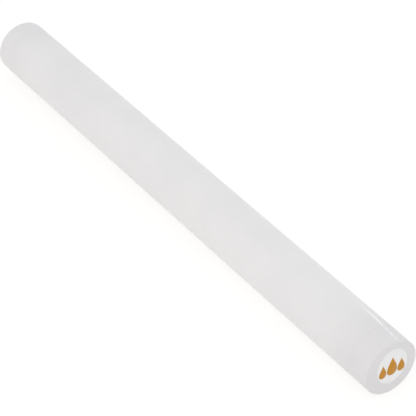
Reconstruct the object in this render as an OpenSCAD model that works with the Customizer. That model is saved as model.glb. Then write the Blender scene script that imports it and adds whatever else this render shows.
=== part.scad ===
// Rainstick: a closed plastic tube, with a core of indexed three-armed stars and a fill of steel shot.
// It lies on its side. The stick runs along X, the badge end is at +X, and the origin is on the
// surface that it rests on, below the middle of the stick. Sizes are in millimetres.

/* [Stick] */
// Outside diameter of the tube and of both end caps
stick_d = 54; // [54:1:60]
// Overall length, from one end face to the other
stick_len = 600; // [580:10:700]
// Wall thickness of the tube and of the end caps
wall = 2; // [1.8:0.1:2.2]
// Radius of the rounded edge round each end face
edge_r = 1.2; // [0.8:0.1:1.6]

/* [End caps] */
// Length of each end cap that shows, from its seam with the tube to its end face
cap_len = 22; // [18:1:26]
// Length of the lap joint, where the cap's tongue lies inside the tube's rebate
lap_len = 12; // [8:1:14]
// Side of the square socket that holds the core bar's end
socket_w = 8.3; // [8.2:0.1:8.5]
// Depth of that socket
socket_depth = 18; // [12:1:24]

/* [Badge] */
// Width of the oval label
badge_w = 31.6; // [26:0.2:36]
// Height of the label
badge_h = 36.2; // [30:0.2:40]
// Thickness of the label
badge_t = 0.2; // [0.1:0.05:0.3]
// How far the label sits from the middle of the end face, towards +Y
badge_y = 1; // [-2:0.1:2]
// How far it sits from the middle upwards
badge_up = 1.8; // [-2:0.1:2]

/* [Core] */
// Side of the square core bar
bar_w = 8; // [7:0.1:8]
// Outside diameter of each star's hub
hub_d = 15; // [14:0.5:16]
// Gap between an arm's tip and the inside of the tube
arm_tip_gap = 1.2; // [0.6:0.1:1.6]
// Arm diameter where it leaves the hub
arm_root_d = 3; // [2.6:0.1:3.2]
// Arm diameter at its tip
arm_tip_d = 2; // [1.6:0.1:2.1]
// Stars in each stack
stars_per_stack = 8; // [6:1:8]

/* [Shot] */
// Diameter of one steel ball
shot_d = 4; // [3.5:0.05:4]
// Length of the heap that the shot makes against the badge end
heap_len = 130; // [80:5:160]
// Depth of that heap where it meets the end cap
heap_depth = 20; // [14:1:22]

/* [Hidden] */
STACKS = 12;
STACK_NODES = [for (n = [1 : STACKS]) str("arm_stack_", n < 10 ? "0" : "", n)];
// The lanes are counted in steps of 30 degrees from straight down, with +Y positive.
SHOT_LANES = [
    ["shot_far_left", -2], ["shot_left", -1], ["shot_middle", 0], ["shot_right", 1], ["shot_far_right", 2]
];

// Clearances
glue_gap = 0.05;    // in the lap joint, radially
seat_gap = 0.2;     // at the end of the tongue
seam_v = 0.25;      // chamfer on each side of the seam
star_gap = 0.05;    // between stars that are stacked on the bar
shot_gap = 0.3;     // round each ball

// Shell
stick_r = stick_d / 2;
bore_r = stick_r - wall;
half_len = stick_len / 2;
seam_z = half_len - cap_len;
lap_z = seam_z - lap_len;
lap_r = bore_r + wall / 2;
face_z = half_len - wall;               // inner side of the end face
inner_r = 3;                            // radius of the corner inside it

// Print on the label: a raindrop with a smaller one on each side of it
print_t = 0.1;                          // thickness of the print
drop_h = 0.54 * badge_h;
drop_w = 0.34 * badge_w;
side_drop = 0.72;                       // size of a side drop against the middle one
side_drop_out = 0.31 * badge_w;         // from the middle of the label to each side drop
side_drop_down = 0.07 * badge_h;

// Core
ARMS = 3;                               // arms on a star
BAR_TURN = 90;                          // each star sits a quarter turn on from the last
LANE = 30;                              // so the arms share twelve stations, this far apart
end_room = 40;                          // from each end of the core to the end face
core_len = stick_len - 2 * end_room;
star_pitch = core_len / (STACKS * stars_per_stack);
hub_edge = 0.4;
arm_sink = 2;                           // how far an arm's root reaches into the hub
arm_end_r = bore_r - arm_tip_gap;
bar_play = 2;                           // between the bar's end and the bottom of its socket
bar_len = core_len + 2 * (socket_depth - bar_play);
bar_edge = 0.8;

// Cap boss and ribs
boss_r = 8.5;
rib_t = 2;
rib_len = 10;
RIBS = 6;

// Shot: four rows of balls in each lane, two on the wall and two stacked above them.
// The wall rows are spread until they nearly touch the arms on either side.
shot_r = shot_d / 2;
row_gap = shot_d + shot_gap;            // least distance between the centres of two rows
wall_row_r = bore_r - shot_r - shot_gap;
wall_row_turn = LANE / 2 - asin((arm_tip_d / 2 + shot_r + shot_gap) / wall_row_r);
mid_row_r = wall_row_r * cos(wall_row_turn) - sqrt(row_gap ^ 2 - (wall_row_r * sin(wall_row_turn)) ^ 2);
top_row_r = mid_row_r - row_gap;
// Each row: its turn from the middle of the lane, its distance from the axis, and its start.
ROWS = [
    [-wall_row_turn, wall_row_r, 0], [wall_row_turn, wall_row_r, 0.5],
    [0, mid_row_r, 0.2], [0, top_row_r, 0.7]
];
shot_sway = 0.25;                       // how far a ball strays from its place in the row
shot_pitch = row_gap + 2 * shot_sway + 0.1;
sway_turn = 137.5;                      // angle that spreads the sways of one row evenly
row_shift = 7;                          // keeps the sways of the rows apart
heap_end = face_z - inner_r - shot_r - shot_gap;

function row_depth(turn, r) = bore_r - r * cos(turn);
function balls_in_row(turn, r) =
    max(0, floor(heap_len * (1 - row_depth(turn, r) / heap_depth) / shot_pitch));
function stray(n) = shot_sway * sin(sway_turn * n);

module on_axis() {
    // Local Z runs along the stick towards the badge, and local X points straight down.
    translate([0, 0, stick_r]) rotate([0, 90, 0]) children();
}

module tube() {
    // Half section of the badge end of the tube, from the bore out, and then the same at the plain end.
    end = [
        [bore_r, lap_z - seat_gap], [lap_r + glue_gap, lap_z - seat_gap],
        [lap_r + glue_gap, seam_z], [stick_r - seam_v, seam_z], [stick_r, seam_z - seam_v]
    ];
    color([0.90, 0.90, 0.91])
    on_axis() rotate_extrude($fn = 120)
        polygon(concat(end, [for (i = [len(end) - 1 : -1 : 0]) [end[i][0], -end[i][1]]]));
}

module rounded_end(r, z, corner) {
    // Half section of a closed end: radius r, end face at z, with a rounded corner.
    translate([0, seam_z]) square([r, z - corner - seam_z]);
    translate([0, seam_z]) square([r - corner, z - seam_z]);
    translate([r - corner, z - corner]) circle(corner, $fn = 96);
}

module cap_shell() {
    rotate_extrude($fn = 120) {
        difference() {
            rounded_end(stick_r, half_len, edge_r);
            rounded_end(bore_r, face_z, inner_r);
            translate([0, seam_z - 1]) square([bore_r, 2]);
            polygon([
                [stick_r - seam_v, seam_z], [stick_r, seam_z + seam_v],
                [stick_r + 1, seam_z + seam_v], [stick_r + 1, seam_z - 1], [stick_r - seam_v, seam_z - 1]
            ]);
        }
        translate([bore_r, lap_z]) square([lap_r - glue_gap - bore_r, lap_len + 1]);
    }
}

module cap_rib() {
    // One rib: it joins the boss to the wall and to the end face, and reaches a little into each.
    translate([boss_r - wall / 2, -rib_t / 2, face_z - rib_len])
        cube([bore_r - boss_r + wall, rib_t, rib_len + wall / 2]);
}

module end_cap() {
    difference() {
        union() {
            cap_shell();
            translate([0, 0, core_len / 2])
                cylinder(r = boss_r, h = face_z + wall / 2 - core_len / 2, $fn = 60);
            for (k = [0 : RIBS - 1]) rotate([0, 0, LANE / 2 + k * 360 / RIBS]) cap_rib();
        }
        rotate([0, 0, LANE / 2])
            translate([-socket_w / 2, -socket_w / 2, core_len / 2 - 1])
                cube([socket_w, socket_w, socket_depth + 1]);
    }
}

module badge_end_cap() {
    color([0.89, 0.88, 0.89])
    on_axis() end_cap();
}

module plain_end_cap() {
    color([0.89, 0.88, 0.89])
    on_axis() mirror([0, 0, 1]) end_cap();
}

module on_badge() {
    // The middle of the label, on the end face.
    on_axis() translate([-badge_up, badge_y, half_len]) children();
}

module badge_label() {
    // An upright oval. Local X points down.
    color([0.94, 0.94, 0.93])
    on_badge() linear_extrude(badge_t)
        polygon([for (t = [0 : 3 : 357]) [badge_h / 2 * cos(t), badge_w / 2 * sin(t)]]);
}

module drop(size) {
    // Teardrop curve about its middle, with its point at the top.
    polygon([
        for (t = [0 : 7.5 : 352.5]) size / 2 * [1.4 * drop_w * sin(t) * sin(t / 2) ^ 1.5, drop_h * cos(t)]
    ]);
}

module badge_emblem() {
    // Three raindrops, printed on the label. Local X points down, so the print is turned to stand upright.
    color([0.75, 0.55, 0.20])
    on_badge() translate([0, 0, badge_t]) rotate([0, 0, 90]) linear_extrude(print_t) {
        drop(1);
        for (side = [-1, 1]) translate([side * side_drop_out, -side_drop_down]) drop(side_drop);
    }
}

module core_bar() {
    w = bar_w / 2;
    e = w - bar_edge;
    color([0.80, 0.81, 0.83])
    on_axis() rotate([0, 0, LANE / 2]) linear_extrude(bar_len, center = true)
        polygon([[w, -e], [w, e], [e, w], [-e, w], [-w, e], [-w, -e], [-e, -w], [e, -w]]);
}

module star() {
    h = (star_pitch - star_gap) / 2;
    r = hub_d / 2;
    root = r - arm_sink;
    difference() {
        union() {
            rotate_extrude($fn = 60) polygon([
                [0, -h], [r - hub_edge, -h], [r, hub_edge - h],
                [r, h - hub_edge], [r - hub_edge, h], [0, h]
            ]);
            for (k = [0 : ARMS - 1]) rotate([0, 90, k * 360 / ARMS]) translate([0, 0, root])
                cylinder(d1 = arm_root_d, d2 = arm_tip_d, h = arm_end_r - root, $fn = 32);
        }
        cube([socket_w, socket_w, 3 * h], center = true);
    }
}

module arm_stack(n) {
    // Stack n of the core, from 0 at the plain end.
    color([0.86, 0.87, 0.86])
    on_axis() for (k = [n * stars_per_stack : (n + 1) * stars_per_stack - 1])
        translate([0, 0, (k + 0.5) * star_pitch - core_len / 2])
            rotate([0, 0, LANE / 2 + (k % 4) * BAR_TURN]) star();
}

module shot_lane(lane) {
    // The balls of the heap that lie in one lane between the arms.
    color([0.72, 0.73, 0.75])
    on_axis() for (row = ROWS) {
        turn = lane * LANE + row[0];
        count = balls_in_row(turn, row[1]);
        if (count > 0) for (k = [0 : count - 1]) {
            z = heap_end - shot_sway - (k + row[2]) * shot_pitch + stray(k + row_shift * row[2]);
            rotate([0, 0, turn]) translate([row[1], 0, z]) sphere(r = shot_r, $fn = 32);
        }
    }
}

tube();
badge_end_cap();
plain_end_cap();
badge_label();
badge_emblem();
core_bar();
for (n = [0 : STACKS - 1]) arm_stack(n);
for (lane = SHOT_LANES) shot_lane(lane[1]);
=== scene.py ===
"""A closed, milky white plastic rainstick that lies on its side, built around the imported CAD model.

The shell, the label and its print are made here as smooth lathed and bevelled meshes. The core and the
steel shot keep their CAD shapes and get materials. Lengths are in metres, in the CAD model's frame:
+X runs along the stick to the badge end, +Z is up, and the floor is at z = 0.
"""

import math

import bmesh
import bpy
from mathutils import Matrix, Vector


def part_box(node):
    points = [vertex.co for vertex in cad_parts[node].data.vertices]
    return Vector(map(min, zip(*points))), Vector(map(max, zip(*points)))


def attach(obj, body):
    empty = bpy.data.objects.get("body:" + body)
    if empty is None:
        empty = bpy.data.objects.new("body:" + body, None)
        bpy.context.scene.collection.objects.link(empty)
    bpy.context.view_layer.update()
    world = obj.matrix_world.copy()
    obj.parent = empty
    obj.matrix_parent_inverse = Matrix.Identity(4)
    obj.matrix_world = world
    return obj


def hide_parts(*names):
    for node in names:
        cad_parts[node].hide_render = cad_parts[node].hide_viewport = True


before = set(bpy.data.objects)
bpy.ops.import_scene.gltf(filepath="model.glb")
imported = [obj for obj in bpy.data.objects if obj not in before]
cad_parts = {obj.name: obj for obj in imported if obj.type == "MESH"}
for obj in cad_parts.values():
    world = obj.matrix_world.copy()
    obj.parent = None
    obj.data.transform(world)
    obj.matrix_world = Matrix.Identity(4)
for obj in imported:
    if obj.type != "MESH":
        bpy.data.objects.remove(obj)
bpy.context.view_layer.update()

# ---------------------------------------------------------------- sizes

MM = 0.001
tube_lo, tube_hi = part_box("tube")
cap_lo, cap_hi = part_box("badge_end_cap")
label_lo, label_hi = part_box("badge_label")
print_lo, print_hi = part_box("badge_emblem")

AXIS_Z = (tube_lo.z + tube_hi.z) / 2
STICK_R = (tube_hi.z - tube_lo.z) / 2
HALF_LEN = cap_hi.x
SEAM_X = tube_hi.x
BOSS_X = cap_lo.x               # where the boss for the core bar starts
LABEL_W = label_hi.y - label_lo.y
LABEL_H = label_hi.z - label_lo.z
LABEL_MID = (label_lo + label_hi) / 2

WALL = 2 * MM
BORE_R = STICK_R - WALL
LAP_R = BORE_R + WALL / 2
LAP_LEN = 12 * MM
GLUE_GAP = 0.05 * MM
SEAT_GAP = 0.2 * MM
EDGE_R = 1.2 * MM               # rounded edge of the end face
INNER_R = 3 * MM                # corner inside the cap
SEAM_R = 0.16 * MM              # rounded lip on each side of the seam
EDGE_HOLD = 0.6 * MM            # from a rounding to the ring that keeps the flat beside it flat
SEAM_HOLD = 1 * MM              # the same, on the outside of the seam
LIP_HOLD = 0.1 * MM             # and inside the seam
BOSS_R = 8.5 * MM
SOCKET_W = 8.3 * MM
SOCKET_DEPTH = 18 * MM
RIB_T = 2 * MM
RIB_LEN = 10 * MM
RIBS = 6
RIB_SINK = 1 * MM               # how far a rib runs into the wall, the face and the boss
OVERCUT = 2 * MM                # how far the socket's cutter sticks out of the boss
FADE = 30 * MM                  # how far back from the lap joint the painted shade on the ends starts
FADE_END = 6 * MM               # how far past the seam that painted shade is at its deepest
TURN = math.radians(15)         # the core's turn about the axis
DROP_H = 0.54 * LABEL_H         # middle raindrop on the label
DROP_W = 0.34 * LABEL_W
SIDE_DROP = 0.72                # size of a side raindrop against the middle one
DROP_OUT = 0.31 * LABEL_W
DROP_DOWN = 0.07 * LABEL_H
LABEL_BEVEL = 0.12 * MM
PRINT_BEVEL = 0.05 * MM

SEGMENTS = 256
CELL = 6 * MM                   # longest step along the stick between two rings


# ---------------------------------------------------------------- mesh helpers

def to_object(bm, name):
    """Turns a finished bmesh into an object in the scene."""
    mesh = bpy.data.meshes.new(name)
    bm.to_mesh(mesh)
    bm.free()
    obj = bpy.data.objects.new(name, mesh)
    bpy.context.scene.collection.objects.link(obj)
    return obj


def arc(cx, cr, radius, start, end, steps=8):
    """Points (x, r) on an arc about (cx, cr). Angles are in degrees, 0 along +x and 90 outwards."""
    out = []
    for i in range(steps + 1):
        a = math.radians(start + (end - start) * i / steps)
        out.append((cx + radius * math.cos(a), cr + radius * math.sin(a)))
    return out


def stepped(points, closed):
    """The same outline with long straight stretches cut into shorter steps."""
    out = []
    pairs = zip(points, points[1:] + points[:1] if closed else points[1:])
    for (x0, r0), (x1, r1) in pairs:
        n = max(1, math.ceil(math.hypot(x1 - x0, r1 - r0) / CELL))
        out += [(x0 + (x1 - x0) * i / n, r0 + (r1 - r0) * i / n) for i in range(n)]
    return out if closed else out + [points[-1]]


def lathe(name, points, closed):
    """Turns an outline of (x, r) points about the stick's axis. An open one starts and ends on it."""
    bm = bmesh.new()
    rings = []
    for x, r in stepped(points, closed):
        if r < 1e-9:
            rings.append([bm.verts.new((x, 0, AXIS_Z))])
            continue
        rings.append([
            bm.verts.new((x, r * math.sin(2 * math.pi * k / SEGMENTS),
                          AXIS_Z + r * math.cos(2 * math.pi * k / SEGMENTS)))
            for k in range(SEGMENTS)
        ])
    for a, b in zip(rings, rings[1:] + rings[:1] if closed else rings[1:]):
        for k in range(SEGMENTS):
            j = (k + 1) % SEGMENTS
            ring = [a[k % len(a)], a[j % len(a)], b[j % len(b)], b[k % len(b)]]
            bm.faces.new(list(dict.fromkeys(ring)))
    bmesh.ops.recalc_face_normals(bm, faces=bm.faces)
    return to_object(bm, name)


def smooth(obj, angle=32):
    """Smooth shading, with a sharp edge wherever two faces meet at more than the angle, in degrees."""
    bm = bmesh.new()
    bm.from_mesh(obj.data)
    for f in bm.faces:
        f.smooth = True
    for e in bm.edges:
        e.smooth = len(e.link_faces) == 2 and e.calc_face_angle(0) < math.radians(angle)
    bm.to_mesh(obj.data)
    bm.free()


def block(name, size, place):
    """A box of that size about the origin, put in place by a matrix. Only used to cut or join."""
    bm = bmesh.new()
    bmesh.ops.create_cube(bm, size=1)
    bmesh.ops.transform(bm, matrix=place @ Matrix.Diagonal((*size, 1)), verts=bm.verts)
    return to_object(bm, name)


def combine(obj, tool, operation):
    """Applies a boolean and removes its tool."""
    mod = obj.modifiers.new("combine", "BOOLEAN")
    mod.operation = operation
    mod.solver = "EXACT"
    mod.object = tool
    bpy.context.view_layer.update()
    made = bpy.data.meshes.new_from_object(obj.evaluated_get(bpy.context.evaluated_depsgraph_get()))
    obj.modifiers.clear()
    obj.data = made
    bpy.data.objects.remove(tool)


# ---------------------------------------------------------------- shell

def tube_outline():
    """Half section of the tube at the badge end, from the bore outwards."""
    rebate = LAP_R + GLUE_GAP
    rebate_x = SEAM_X - LAP_LEN - SEAT_GAP
    half = [(rebate_x, BORE_R), (rebate_x, rebate), (SEAM_X, rebate)]
    half += [(SEAM_X, STICK_R - SEAM_R - LIP_HOLD)]
    half += arc(SEAM_X - SEAM_R, STICK_R - SEAM_R, SEAM_R, 0, 90)
    half += [(SEAM_X - SEAM_HOLD, STICK_R)]
    return half + [(-x, r) for x, r in reversed(half)]


def cap_outline():
    """Half section of an end cap, from the middle of the end face round to the middle of the boss."""
    face_x = HALF_LEN - WALL
    tongue_r = LAP_R - GLUE_GAP
    line = [(HALF_LEN, 0), (HALF_LEN, STICK_R - EDGE_R - EDGE_HOLD)]
    line += reversed(arc(HALF_LEN - EDGE_R, STICK_R - EDGE_R, EDGE_R, 90, 0, 10))
    line += [(HALF_LEN - EDGE_R - EDGE_HOLD, STICK_R), (SEAM_X + SEAM_HOLD, STICK_R)]
    line += arc(SEAM_X + SEAM_R, STICK_R - SEAM_R, SEAM_R, 90, 180)
    line += [(SEAM_X, STICK_R - SEAM_R - LIP_HOLD), (SEAM_X, tongue_r)]
    line += [(SEAM_X - LAP_LEN, tongue_r), (SEAM_X - LAP_LEN, BORE_R)]
    line += arc(face_x - INNER_R, BORE_R - INNER_R, INNER_R, 90, 0)
    line += [(face_x, BOSS_R), (BOSS_X, BOSS_R), (BOSS_X, 0)]
    return line


def end_cap(name, node, side):
    """One end cap with its tongue, ribs and socketed boss. Side is 1 at the badge end, else -1."""
    cap = lathe(name, cap_outline(), closed=False)
    axis = Matrix.Translation((0, 0, AXIS_Z))
    rib_size = (RIB_LEN + RIB_SINK, BORE_R - BOSS_R + 2 * RIB_SINK, RIB_T)
    rib_x = HALF_LEN - WALL - RIB_LEN / 2 + RIB_SINK / 2
    rib_r = (BOSS_R + BORE_R) / 2
    for k in range(RIBS):
        turn = Matrix.Rotation(2 * math.pi * k / RIBS + math.pi / 2 - TURN, 4, "X")
        place = axis @ turn @ Matrix.Translation((rib_x, rib_r, 0))
        combine(cap, block("rib", rib_size, place), "UNION")
    socket = Matrix.Translation((BOSS_X + SOCKET_DEPTH / 2 - OVERCUT / 2, 0, 0))
    place = axis @ Matrix.Rotation(TURN, 4, "X") @ socket
    combine(cap, block("socket", (SOCKET_DEPTH + OVERCUT, SOCKET_W, SOCKET_W), place), "DIFFERENCE")
    if side < 0:
        cap.data.transform(Matrix.Scale(-1, 4, (1, 0, 0)))
        cap.data.flip_normals()
    smooth(cap)
    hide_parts(node)
    return cap


# ---------------------------------------------------------------- label

def drop_outline(size, points=96):
    """Teardrop curve about its middle, with its point at the top."""
    out = []
    for i in range(points):
        t = 2 * math.pi * i / points
        across = 1.4 * DROP_W * math.sin(t) * abs(math.sin(t / 2)) ** 1.5
        out.append((size / 2 * across, size / 2 * DROP_H * math.cos(t)))
    return out


def raised(bm, outline, y, z, x0, x1, bevel):
    """Adds a thin plate with that outline in Y and Z, from x0 to x1, with a bevelled front edge."""
    mid = Vector((sum(p[0] for p in outline), sum(p[1] for p in outline))) / len(outline)
    inset = 1 - bevel / max((Vector(p) - mid).length for p in outline)
    rings = []
    for x, s in ((x0, 1), (x1 - bevel / 2, 1), (x1, inset)):
        ring = [mid + (Vector(p) - mid) * s for p in outline]
        rings.append([bm.verts.new((x, y + p[0], z + p[1])) for p in ring])
    for a, b in zip(rings, rings[1:]):
        for k in range(len(a)):
            j = (k + 1) % len(a)
            bm.faces.new((a[k], a[j], b[j], b[k]))
    bm.faces.new(rings[-1])
    bm.faces.new(list(reversed(rings[0])))


def label():
    """The label: a thin upright oval with a rounded front edge."""
    bm = bmesh.new()
    turns = [2 * math.pi * k / SEGMENTS for k in range(SEGMENTS)]
    oval = [(LABEL_W / 2 * math.cos(t), LABEL_H / 2 * math.sin(t)) for t in turns]
    raised(bm, oval, LABEL_MID.y, LABEL_MID.z, label_lo.x, label_hi.x, LABEL_BEVEL)
    bmesh.ops.recalc_face_normals(bm, faces=bm.faces)
    obj = to_object(bm, "label_oval")
    smooth(obj, 50)
    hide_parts("badge_label")
    return obj


def raindrops():
    """Three gold raindrops, printed on the label."""
    bm = bmesh.new()
    for side in (-1, 0, 1):
        size, down = (SIDE_DROP, DROP_DOWN) if side else (1, 0)
        raised(bm, drop_outline(size), LABEL_MID.y + side * DROP_OUT, LABEL_MID.z - down,
               print_lo.x, print_hi.x, PRINT_BEVEL)
    bmesh.ops.recalc_face_normals(bm, faces=bm.faces)
    obj = to_object(bm, "raindrop_print")
    smooth(obj, 50)
    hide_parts("badge_emblem")
    return obj


# ---------------------------------------------------------------- materials

class Nodes:
    """Short ways to add and join shader nodes."""

    def __init__(self, name):
        self.material = bpy.data.materials.new(name)
        self.material.use_nodes = True
        self.tree = self.material.node_tree
        self.shader = self.tree.nodes["Principled BSDF"]
        self.coords = self.tree.nodes.new("ShaderNodeTexCoord").outputs["Object"]

    def join(self, source, target):
        self.tree.links.new(source, target)

    def stretched(self, scale):
        node = self.tree.nodes.new("ShaderNodeMapping")
        node.inputs["Scale"].default_value = scale
        self.join(self.coords, node.inputs["Vector"])
        return node.outputs["Vector"]

    def noise(self, scale, detail=2.0, rough=0.5, vector=None):
        node = self.tree.nodes.new("ShaderNodeTexNoise")
        node.inputs["Scale"].default_value = scale
        node.inputs["Detail"].default_value = detail
        node.inputs["Roughness"].default_value = rough
        self.join(vector or self.coords, node.inputs["Vector"])
        return node.outputs["Fac"]

    def spread(self, value, low, high, out_low, out_high, curve="LINEAR"):
        node = self.tree.nodes.new("ShaderNodeMapRange")
        node.interpolation_type = curve
        ends = {"From Min": low, "From Max": high, "To Min": out_low, "To Max": out_high}
        for name, number in ends.items():
            node.inputs[name].default_value = number
        self.join(value, node.inputs["Value"])
        return node.outputs["Result"]

    def patches(self, scale, detail=2.0, rough=0.5):
        """Noise whose middle values are spread over 0 to 1."""
        return self.spread(self.noise(scale, detail, rough), 0.35, 0.65, 0, 1)

    def mix(self, factor, first, second):
        node = self.tree.nodes.new("ShaderNodeMix")
        node.data_type = "RGBA"
        self.join(factor, node.inputs["Factor"])
        for socket, value in ((node.inputs["A"], first), (node.inputs["B"], second)):
            if isinstance(value, tuple):
                socket.default_value = (*value, 1)
            else:
                self.join(value, socket)
        return node.outputs["Result"]

    def maths(self, operation, *values):
        node = self.tree.nodes.new("ShaderNodeMath")
        node.operation = operation
        for socket, value in zip(node.inputs, values):
            self.join(value, socket)
        return node.outputs["Value"]

    def axis(self, letter):
        node = self.tree.nodes.new("ShaderNodeSeparateXYZ")
        self.join(self.coords, node.inputs["Vector"])
        return node.outputs[letter]

    def colour(self, factor, first, second):
        self.join(self.mix(factor, first, second), self.shader.inputs["Base Color"])

    def roughness(self, pattern, low, high):
        self.join(self.spread(pattern, 0.3, 0.7, low, high), self.shader.inputs["Roughness"])

    def bump(self, layers):
        """Layers of (height, depth in metres), stacked into one normal."""
        normal = None
        for height, depth in layers:
            node = self.tree.nodes.new("ShaderNodeBump")
            node.inputs["Strength"].default_value = 1
            node.inputs["Distance"].default_value = depth
            self.join(height, node.inputs["Height"])
            if normal:
                self.join(normal, node.inputs["Normal"])
            normal = node.outputs["Normal"]
        self.join(normal, self.shader.inputs["Normal"])

    def set(self, **values):
        for name, value in values.items():
            self.shader.inputs[name.replace("_", " ")].default_value = value


def milky_plastic(name, drawn):
    """Satin, slightly translucent white plastic, with painted shade: a little darker towards the ends.

    Drawn is how strongly fine lines run along the stick.
    """
    m = Nodes(name)
    clouds = m.patches(22, 3, 0.55)
    body = m.mix(clouds, (0.716, 0.708, 0.713), (0.736, 0.727, 0.731))
    # Painted shade: end is a darker copy of body, blended in over each lap joint and cap, fully at the
    # badge end and less than half as much at the plain end.
    end = m.mix(clouds, (0.663, 0.651, 0.660), (0.677, 0.665, 0.672))
    along = m.maths("ABSOLUTE", m.axis("X"))
    lap = m.spread(along, SEAM_X - LAP_LEN - FADE, SEAM_X + FADE_END, 0, 1, "SMOOTHSTEP")
    side = m.spread(m.axis("X"), -HALF_LEN, HALF_LEN, 0.4, 1)
    m.colour(m.maths("MULTIPLY", lap, side), body, end)
    m.roughness(m.noise(160, 3, 0.6), 0.40, 0.50)
    lines = m.noise(1, 2, 0.5, m.stretched((6, 900, 900)))
    grain = m.noise(2600, 2, 0.5)
    m.bump([(lines, drawn), (grain, 0.006 * MM)])
    m.set(IOR=1.45, Subsurface_Weight=0.25, Subsurface_Scale=0.8 * MM, Specular_IOR_Level=0.04,
          Coat_Weight=0.14, Coat_Roughness=0.10, Coat_IOR=1.45)
    m.shader.inputs["Subsurface Radius"].default_value = (1.0, 0.9, 0.8)
    return m.material


def label_vinyl():
    m = Nodes("label_vinyl_gloss")
    m.colour(m.patches(60), (0.745, 0.742, 0.742), (0.770, 0.767, 0.765))
    m.roughness(m.noise(500), 0.14, 0.22)
    m.bump([(m.noise(700), 0.004 * MM)])
    m.set(IOR=1.5)
    return m.material


def gold_print():
    m = Nodes("gold_print_ink")
    m.colour(m.patches(5200, 1), (0.45, 0.195, 0.012), (0.55, 0.255, 0.022))
    m.roughness(m.noise(2500), 0.32, 0.46)
    m.bump([(m.noise(4200, 1), 0.004 * MM)])
    m.set(Metallic=0.35, IOR=1.5, Specular_IOR_Level=0.3)
    return m.material


def moulded_arms():
    m = Nodes("arm_plastic_moulded")
    m.colour(m.patches(90, 3, 0.6), (0.66, 0.67, 0.64), (0.74, 0.74, 0.71))
    m.roughness(m.noise(700), 0.42, 0.55)
    m.bump([(m.noise(1800), 0.008 * MM)])
    m.set(IOR=1.5, Subsurface_Weight=0.15, Subsurface_Scale=1 * MM)
    return m.material


def drawn_aluminium():
    m = Nodes("bar_aluminium_drawn")
    lines = m.noise(1, 3, 0.6, m.stretched((8, 1600, 1600)))
    m.colour(lines, (0.58, 0.59, 0.6), (0.74, 0.75, 0.76))
    m.roughness(lines, 0.28, 0.42)
    m.bump([(lines, 0.006 * MM)])
    m.set(Metallic=1.0)
    return m.material


def steel_balls():
    m = Nodes("shot_steel_polished")
    m.colour(m.patches(320), (0.55, 0.56, 0.58), (0.68, 0.69, 0.70))
    m.roughness(m.noise(1500, 3, 0.7), 0.08, 0.24)
    m.bump([(m.noise(3500), 0.002 * MM)])
    m.set(Metallic=1.0)
    return m.material


def paint(obj, material):
    obj.data.materials.clear()
    obj.data.materials.append(material)


# ---------------------------------------------------------------- stage

def camera():
    """Long lens, at about 35 degrees from the badge end's axis and 37 degrees up."""
    turn, up, roll = math.radians(35.16), math.radians(37.29), math.radians(0.45)
    back = Vector((math.cos(up) * math.cos(turn), -math.cos(up) * math.sin(turn), math.sin(up)))
    distance = 1.8247
    data = bpy.data.cameras.new("camera")
    data.lens = 171.8
    data.sensor_width = 36
    obj = bpy.data.objects.new("camera", data)
    bpy.context.scene.collection.objects.link(obj)
    aim = Vector((0.0338, 0, AXIS_Z))
    obj.rotation_mode = "QUATERNION"
    obj.location = aim + back * distance
    upright = (-back).to_track_quat("-Z", "Y")
    obj.rotation_quaternion = upright @ Matrix.Rotation(roll, 3, "Z").to_quaternion()
    bpy.context.scene.camera = obj


def area_light(name, size, power, colour, place, aim, lean=0):
    """A soft light that points at its aim. Lean turns it about its own direction, in degrees."""
    data = bpy.data.lights.new(name, "AREA")
    data.shape = "RECTANGLE"
    data.size, data.size_y = size
    data.energy = power
    data.color = colour
    obj = bpy.data.objects.new(name, data)
    bpy.context.scene.collection.objects.link(obj)
    obj.location = place
    obj.rotation_mode = "QUATERNION"
    upright = (Vector(aim) - Vector(place)).to_track_quat("-Z", "Y")
    obj.rotation_quaternion = upright @ Matrix.Rotation(math.radians(lean), 3, "Z").to_quaternion()
    obj.visible_camera = False


def floor():
    """A plain white floor that glows, as a light table does, so that the shadow on it stays faint."""
    bm = bmesh.new()
    bmesh.ops.create_grid(bm, x_segments=1, y_segments=1, size=6)
    obj = to_object(bm, "floor")
    m = Nodes("floor_white")
    m.set(Roughness=0.9, Base_Color=(0.30, 0.30, 0.30, 1), Emission_Color=(1, 0.99, 0.975, 1),
          Emission_Strength=0.722, Specular_IOR_Level=0)
    paint(obj, m.material)


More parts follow.
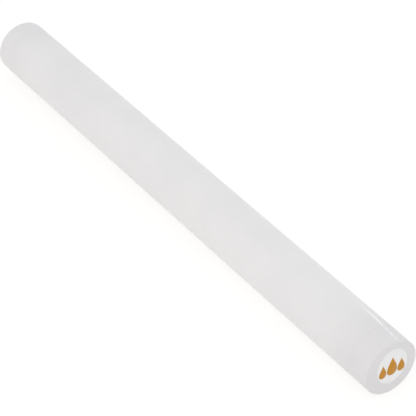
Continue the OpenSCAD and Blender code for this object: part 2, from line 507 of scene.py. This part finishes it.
def daylight():
    """An even white tent: a little cooler behind the stick, and a little darker off its badge end."""
    world = bpy.data.worlds.new("studio")
    world.use_nodes = True
    tree = world.node_tree
    way = tree.nodes.new("ShaderNodeTexCoord").outputs["Generated"]
    split = tree.nodes.new("ShaderNodeSeparateXYZ")
    tree.links.new(way, split.inputs["Vector"])
    background = tree.nodes["Background"]
    tint = tree.nodes.new("ShaderNodeMix")
    tint.data_type = "RGBA"
    tint.inputs["A"].default_value = (0.985, 0.98, 0.975, 1)
    tint.inputs["B"].default_value = (0.957, 0.975, 1.0, 1)
    for letter, ends, target in (("Y", (0, 1), tint.inputs["Factor"]),
                                 ("X", (1.0, 0.94), background.inputs["Strength"])):
        ramp = tree.nodes.new("ShaderNodeMapRange")
        ramp.inputs["From Min"].default_value = -1
        ramp.inputs["To Min"].default_value, ramp.inputs["To Max"].default_value = ends
        tree.links.new(split.outputs[letter], ramp.inputs["Value"])
        tree.links.new(ramp.outputs["Result"], target)
    tree.links.new(tint.outputs["Result"], background.inputs["Color"])
    bpy.context.scene.world = world


camera()
daylight()
floor()
area_light("key", size=(0.5, 0.5), power=2.0, colour=(1, 0.95, 0.88),
           place=(0.26, -0.75, 1.0), aim=(0.1, 0, AXIS_Z))
area_light("front", size=(0.6, 0.6), power=1.1, colour=(1, 0.98, 0.97),
           place=(1.4, -0.2, 0.8), aim=(HALF_LEN, 0, AXIS_Z))
# A thin tube light behind the stick, which makes the streak near the badge end.
area_light("strip", size=(0.012, 0.21), power=0.14, colour=(1, 1, 1),
           place=(-0.061, 0.479, 0.175), aim=(0.275, 0.008, 0.052), lean=6.4)
bpy.context.scene.view_settings.view_transform = "Standard"

# ---------------------------------------------------------------- build

tube_white = milky_plastic("tube_plastic_milky", 0.012 * MM)
cap_white = milky_plastic("cap_plastic_milky", 0.002 * MM)

shell = lathe("tube_shell", tube_outline(), closed=True)
smooth(shell)
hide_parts("tube")

PIECES = [
    (shell, tube_white, "tube_plastic"),
    (end_cap("badge_cap_shell", "badge_end_cap", 1), cap_white, "cap_plastic"),
    (end_cap("plain_cap_shell", "plain_end_cap", -1), cap_white, "cap_plastic"),
    (label(), label_vinyl(), "label_vinyl"),
    (raindrops(), gold_print(), "gold_print"),
]
for piece, material, slot in PIECES:
    paint(piece, material)
    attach(piece, "stick")

arm_plastic, bar_metal, shot_metal = moulded_arms(), drawn_aluminium(), steel_balls()
for name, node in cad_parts.items():
    if name.startswith("arm_stack"):
        node.material_slots[0].material = arm_plastic
    elif name.startswith("shot"):
        node.material_slots[0].material = shot_metal
    elif name == "core_bar":
        node.material_slots[0].material = bar_metal
